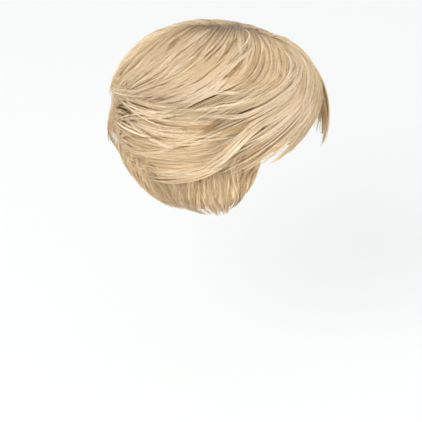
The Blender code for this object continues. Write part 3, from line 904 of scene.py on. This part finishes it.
def strand_courses(row, own, stray, dice):
    """How far along the locks, along their own wisp and across the row the strands of a row run."""
    count = row.strands
    start = own.start + column(np.abs(dice.normal(0, ROOT_SCATTER, count)))
    end = own.reach - column(np.abs(dice.normal(0, TIP_SCATTER, count)))
    end = np.maximum(end, start + SHORTEST_STRAND)
    along = start + (end - start) * np.linspace(0, 1, row.rings)
    part = (along - own.start) / (own.reach - own.start)
    wander = np.where(stray, STRAY_WANDER, WANDER) * column(dice.normal(0, 1, count))
    root = np.where(own.start > 0, 0.5, 1.4)
    free = smooth_step(along, 0.0, 0.3)
    across = own.middle + own.half * column(dice.uniform(-1, 1, count)) * wisp_shape(part, root)
    across = across + own.lean * (along - 0.4) + free * own.bow * np.sin(7.5 * along + own.phase)
    across = across + free * wander * np.sin(5.0 * along + column(dice.uniform(0, 6.28, count)))
    return along, part, np.clip(across, -SPILL, 1 + SPILL)


def strand_lifts(row, own, stray, settings, dice, along, part, across, low, high):
    """How high the strands of a row lie: out at the strays, and in at valleys, covered roots and edges."""
    count = row.strands
    beyond = settings.tuck * np.maximum(along - 1, 0)
    valley = lock_profile(row, across) * row.groove * LOCK_GROOVE * np.clip(3 * along, 0, 1)
    lift = high - STRAND_VALLEY * valley
    lift = lift + own.rise * smooth_step(part, 0.05, 0.4) + own.curl * smooth_step(part, 0.7, 1.0)
    lift = lift + column(dice.normal(-STRAND_SINK, 0.5 * settings.scatter, count)) - beyond
    arch = np.sin(np.pi * np.linspace(0, 1, row.rings))
    lift = lift + np.where(stray, settings.stray_lift, 0) * column(dice.random(count)) * arch
    lift = lift - np.where(own.start > 0, COVERED_DEPTH, 0.0) * (1 - smooth_step(part, 0.0, 0.25))
    outside = np.maximum(np.abs(across - 0.5) - 0.49, 0) / 0.04
    sink = np.clip(outside, 0, 1) * column(dice.random(count))
    sink = sink + (1 - smooth_step(along, -row.parted, 0.09)) * column(dice.random(count))
    lift = lift - np.clip(sink, 0, 1) * np.maximum(lift - low, 0.0)
    lift = np.maximum(lift, low + 2 * STRAND_SINK - 2 * beyond)
    return np.where(column(dice.random(count)) < row.inner, low - STRAND_SINK, lift)


def strand_paths(row, settings, dice):
    """The middle lines of a row's strands, which lie together in wisps, and how pale and wide each is."""
    count = row.strands
    wisps = wisp_table(row, settings, dice)
    home = dice.integers(0, len(wisps.middle), count)
    own = Wisps(*(column(values[home]) for values in wisps))
    stray = column(dice.random(count)) < settings.stray_share
    along, part, across = strand_courses(row, own, stray, dice)
    way, low, high = Surface(row).at(across, along)
    lift = strand_lifts(row, own, stray, settings, dice, along, part, across, low, high)
    shade = tones(dice, own.tone[:, 0], 0.07, 0.10)
    body = strand_shape(np.linspace(0, 1, row.rings), 0.25, 5, 0.86)
    widths = settings.width * column(dice.uniform(0.5, 1.3, count)) * np.where(stray, 0.55, 1.0) * body
    return head_point(way, lift), way, along, shade, widths


def strand_faces(paths, ways, widths, thickness):
    """Closed three-sided strands along paths: points and faces, tips included."""
    count, rings = paths.shape[:2]
    run = unit(np.gradient(paths, axis=1))
    side = unit(np.cross(run, ways))
    out = np.cross(side, run)
    half = widths[..., None] / 2
    ridge = paths + out * half * 2 * thickness
    corners = np.stack([paths + side * half, ridge, paths - side * half], axis=2)
    index = np.arange(count * rings * 3).reshape(count, rings, 3)
    a, b = index[:, :-1, :], index[:, 1:, :]
    following = [1, 2, 0]
    quads = np.stack([a, a[..., following], b[..., following], b], axis=-1).reshape(-1, 4)
    tips = np.concatenate([index[:, 0, ::-1], index[:, -1, :]])
    return corners.reshape(-1, 3), quads, tips


def palette_places(shade, along):
    """Where each corner of the strands lies on the palette map."""
    tone = np.clip(column(shade) + TIP_PALER * (along - 0.5), 0.02, 0.98)
    return np.repeat(np.stack([tone, np.clip(along, 0, 1)], -1).reshape(-1, 2), 3, axis=0)


def hair_piece(row, settings, materials):
    """One row of hair: its mass and its strands, as one piece in place of its plain solid."""
    dice = np.random.default_rng(settings.seed + sum(map(ord, row.node)))
    mass_points, mass_quads, mass_maps = lock_mass(row, dice)
    paths, ways, along, shade, widths = strand_paths(row, settings, dice)
    points, quads, tips = strand_faces(paths, ways, widths, settings.thickness)
    shift = len(mass_points)
    piece = mesh_object(
        row.node.replace("hair", "locks") + "_dressed",
        np.concatenate([mass_points, points]),
        np.concatenate([mass_quads, quads + shift]),
        tips + shift,
        np.concatenate([mass_maps, palette_places(shade, along)]),
        materials,
        np.concatenate([np.ones(len(mass_quads)), np.zeros(len(quads))]),
    )
    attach(piece, "root")
    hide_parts(row.node)
    return piece


def loose_courses(wisp, sign, part, dice):
    """The directions in which one loose wisp's strands lie, and how far along the wisp they run."""
    count = len(part)
    step = np.linspace(0, 1, LOOSE_RINGS)[None, :]
    start = dice.uniform(0.0, 0.22, wisp.parts)[part] + np.abs(dice.normal(0, 0.09, count))
    end = dice.uniform(0.82, 1.0, wisp.parts)[part] - np.abs(dice.normal(0, 0.05, count))
    along = column(start) + column(end - start) * step
    way = unit(through(np.array([direction((sign * turn, drop)) for turn, drop in wisp.places]), along))
    side = unit(np.cross(unit(np.gradient(way, axis=1)), way))
    fan = 1.0 + 0.5 * np.sin(4 * along + 2.1 * column(part))
    spread = column(dice.normal(0, 1.5, wisp.parts)[part]) * fan
    own = column(dice.uniform(-1, 1, count)) * wisp_shape(step)
    stray = column(dice.normal(0, 0.35, count)) * np.sin(5 * along + column(dice.uniform(0, 6.28, count)))
    offset = MILLIMETRE * wisp.half * (spread + 0.7 * own + stray)
    return unit(way + side * (offset / LOOSE_RADIUS)[..., None]), along


def loose_paths(wisp, sign, envelope, settings, dice):
    """The middle lines of one loose wisp's strands, and how pale and wide each strand is."""
    part = np.repeat(np.arange(wisp.parts), STRANDS_IN_A_PART)
    count = len(part)
    step = np.linspace(0, 1, LOOSE_RINGS)[None, :]
    way, along = loose_courses(wisp, sign, part, dice)
    rise = MILLIMETRE * wisp.lift + dice.normal(0, 0.0004, wisp.parts)[part] + dice.normal(0, 0.0003, count)
    ends = smooth_step(step, 0.0, 0.22) * (1 - 0.6 * smooth_step(step, 0.75, 1.0))
    lift = envelope.at(way) + column(rise) * ends - LOOSE_DIP * (1 - smooth_step(step, 0.0, 0.2))
    shade = tones(dice, wisp.tone + dice.normal(0, 0.04, wisp.parts)[part], 0.07, 0.06)
    body = strand_shape(step, 0.08, 4, 0.88)
    widths = settings.width * column(dice.uniform(0.45, 1.1, count)) * body
    return head_point(way, lift), way, along + LOOSE_ROOT, shade, widths


def loose_piece(settings, materials):
    """The loose wisps over all the rows, as one piece."""
    dice = np.random.default_rng(settings.seed)
    envelope = Envelope(all_rows().values())
    wisps = [LooseWisp(*wisp) for wisp in LOOSE_WISPS]
    made = [loose_paths(wisp, sign, envelope, settings, dice) for wisp in wisps for sign in wisp.sides]
    paths, ways, along, shade, widths = (np.concatenate(parts) for parts in zip(*made))
    points, quads, tips = strand_faces(paths, ways, widths, settings.thickness)
    maps = palette_places(shade, along)
    piece = mesh_object("loose_wisps", points, quads, tips, maps, materials, np.zeros(len(quads)))
    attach(piece, "root")
    return piece


def mirrored(row, side):
    """The row for one side of the head, from guides that are written for the wearer's left."""
    sign = 1 if side == "left" else -1
    guides = [Guide(*((sign * turn, drop) for turn, drop in guide[:4]), guide.lift) for guide in row.guides]
    strands = row.strands if side == "right" else int(LEFT_SHARE * row.strands)
    return row._replace(node=row.node + "_" + side, guides=guides, strands=strands)


def all_rows():
    """Every row of the wig by the name of its node, with both sides of those that come in pairs."""
    single = [row for row in ROWS if row.node not in PAIRS]
    paired = [mirrored(row, side) for row in ROWS if row.node in PAIRS for side in ("right", "left")]
    return {row.node: row for row in single + paired}


def hair_materials(context):
    """The finish of the strands and of the mass under them, made once."""
    colours = context.scene.wig.colours
    strands = bpy.data.materials.get("hair strands") or strand_finish("hair strands", colours)
    locks = bpy.data.materials.get("hair locks") or lock_finish("hair locks", colours)
    return [strands, locks]


def dress(context, *nodes):
    """Makes the pieces of some rows."""
    rows = all_rows()
    for node in nodes:
        hair_piece(rows[node], context.scene.wig.strands, hair_materials(context))
    return {"FINISHED"}


# Operators


class WIG_OT_cap(bpy.types.Operator):
    """Gives the cap its net"""

    bl_idname = "wig.cap"
    bl_label = "Cap"

    def execute(self, context):
        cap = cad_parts["cap"]
        cap.data.materials.clear()
        cap.data.materials.append(net_finish("cap net", context.scene.wig.colours))
        return {"FINISHED"}


class WIG_OT_low_hair(bpy.types.Operator):
    """Dresses the rows at the nape and round the back"""

    bl_idname = "wig.low_hair"
    bl_label = "Nape and back hair"

    def execute(self, context):
        return dress(context, "nape_hair", "back_hair")


class WIG_OT_side_hair(bpy.types.Operator):
    """Dresses the hanging rows over the ears"""

    bl_idname = "wig.side_hair"
    bl_label = "Side hair"

    def execute(self, context):
        return dress(context, "side_hair_right", "side_hair_left")


class WIG_OT_middle_hair(bpy.types.Operator):
    """Dresses the layer that is swept level to the back"""

    bl_idname = "wig.middle_hair"
    bl_label = "Middle hair"

    def execute(self, context):
        return dress(context, "middle_hair_right", "middle_hair_left", "middle_hair_back")


class WIG_OT_top_hair(bpy.types.Operator):
    """Dresses the rows that fall from the part"""

    bl_idname = "wig.top_hair"
    bl_label = "Top hair"

    def execute(self, context):
        return dress(context, "top_hair_right", "top_hair_left")


class WIG_OT_fringe(bpy.types.Operator):
    """Dresses the swept fringe and the lock at the left temple"""

    bl_idname = "wig.fringe"
    bl_label = "Fringe"

    def execute(self, context):
        return dress(context, "fringe", "fringe_left")


class WIG_OT_loose_wisps(bpy.types.Operator):
    """Lays the loose wisps over the rows"""

    bl_idname = "wig.loose_wisps"
    bl_label = "Loose wisps"

    def execute(self, context):
        loose_piece(context.scene.wig.strands, hair_materials(context))
        return {"FINISHED"}


# The studio


def look_at(thing, target):
    """Turns a camera or a light to face a point."""
    thing.rotation_euler = (target - thing.location).to_track_quat("-Z", "Y").to_euler()


def floor_paper():
    """The floor's pale paper, which glows a little so that it stays even."""
    paint = Finish("studio paper")
    place = paint.add("TexCoord").outputs["Object"]
    tint = paint.mix(paint.noise(place, 3.0, 2.0), rgba(FLOOR_DARK), rgba(FLOOR_PALE))
    paint.feed(paint.shader, "Base Color", tint)
    paint.shader.inputs["Roughness"].default_value = 0.9
    paint.shader.inputs["Specular IOR Level"].default_value = 0.1
    paint.shader.inputs["Emission Color"].default_value = rgba(FLOOR_GLOW_COLOUR)
    paint.shader.inputs["Emission Strength"].default_value = FLOOR_GLOW
    return paint.material


def add_floor(level):
    """A round, pale studio floor whose edge curves up into a wall."""
    bpy.ops.object.select_all(action="DESELECT")
    bpy.ops.mesh.primitive_circle_add(
        vertices=FLOOR_SIDES, radius=FLOOR_RADIUS, fill_type="NGON", location=(0, 0, level)
    )
    floor = bpy.context.object
    floor.name = "studio_floor"
    bpy.ops.object.mode_set(mode="EDIT")
    bpy.ops.mesh.select_mode(type="EDGE")
    bpy.ops.mesh.select_all(action="SELECT")
    for rise, growth in FLOOR_EDGE:
        bpy.ops.mesh.select_mode(type="EDGE")
        bpy.ops.mesh.region_to_loop()
        bpy.ops.mesh.extrude_edges_move(TRANSFORM_OT_translate={"value": (0, 0, rise)})
        bpy.ops.transform.resize(value=(growth, growth, 1.0))
        bpy.ops.mesh.select_all(action="SELECT")
    bpy.ops.mesh.normals_make_consistent(inside=True)
    bpy.ops.object.mode_set(mode="OBJECT")
    bpy.ops.object.shade_smooth()
    floor.data.materials.append(floor_paper())


def add_area_light(name, location, size, watts, target):
    """A large soft light."""
    light = bpy.data.lights.new(name, "AREA")
    light.shape = "DISK"
    light.size = size
    light.energy = watts
    lamp = bpy.data.objects.new(name, light)
    lamp.location = location
    bpy.context.scene.collection.objects.link(lamp)
    look_at(lamp, target)


def add_air(strength):
    """Even white light from all round."""
    world = bpy.data.worlds.new("studio air")
    world.use_nodes = True
    air = world.node_tree.nodes["Background"]
    air.inputs["Color"].default_value = (1.0, 1.0, 1.0, 1.0)
    air.inputs["Strength"].default_value = strength
    bpy.context.scene.world = world


class WIG_OT_stage(bpy.types.Operator):
    """Sets the camera, the pale floor and the soft lights"""

    bl_idname = "wig.stage"
    bl_label = "Stage"

    def execute(self, context):
        stage = context.scene.wig.stage
        middle = Vector((0.0, 0.0, -CROWN_HEIGHT))
        a, e = stage.azimuth, stage.elevation
        back = Vector((math.sin(a) * math.cos(e), -math.cos(a) * math.cos(e), math.sin(e)))
        right = Vector((math.cos(a), math.sin(a), 0.0))
        up = back.cross(right)
        camera = bpy.data.objects.new("camera", bpy.data.cameras.new("camera"))
        camera.data.lens = stage.lens
        camera.data.clip_end = 50.0
        camera.location = middle + back * stage.distance
        context.scene.collection.objects.link(camera)
        look_at(camera, middle + right * stage.aim_right + up * stage.aim_up)
        context.scene.camera = camera
        add_floor(middle.z - stage.floor_drop)
        for light, watts in zip(LIGHTS, (stage.key_power, stage.fill_power, stage.rear_power)):
            place = middle + back * light.back + right * light.right + Vector((0, 0, light.rise))
            add_area_light(light.name, place, light.size, watts, middle)
        add_air(stage.sky)
        context.scene.view_settings.view_transform = "Standard"
        return {"FINISHED"}


class WIG_PT_panel(bpy.types.Panel):
    """The wig's pieces and settings"""

    bl_idname = "WIG_PT_panel"
    bl_label = "Short layered wig"
    bl_space_type = "VIEW_3D"
    bl_region_type = "UI"
    bl_category = "Wig"

    def draw(self, context):
        for step in STEPS:
            self.layout.operator(step.bl_idname)
        wig = context.scene.wig
        for group in (wig.strands, wig.colours, wig.stage):
            for name in group.__annotations__:
                self.layout.prop(group, name)


STEPS = (
    WIG_OT_cap,
    WIG_OT_low_hair,
    WIG_OT_side_hair,
    WIG_OT_middle_hair,
    WIG_OT_top_hair,
    WIG_OT_fringe,
    WIG_OT_loose_wisps,
    WIG_OT_stage,
)
CLASSES = (StrandSettings, ColourSettings, StageSettings, WigSettings, *STEPS, WIG_PT_panel)


def register():
    """Makes the wig's settings, operators and panel known."""
    for item in CLASSES:
        bpy.utils.register_class(item)
    bpy.types.Scene.wig = PointerProperty(type=WigSettings)


def unregister():
    """Takes them away again."""
    del bpy.types.Scene.wig
    for item in reversed(CLASSES):
        bpy.utils.unregister_class(item)


def main():
    """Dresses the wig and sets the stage."""
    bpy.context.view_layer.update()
    register()
    for step in STEPS:
        group, name = step.bl_idname.split(".")
        getattr(getattr(bpy.ops, group), name)()


if __name__ == "__main__":
    main()
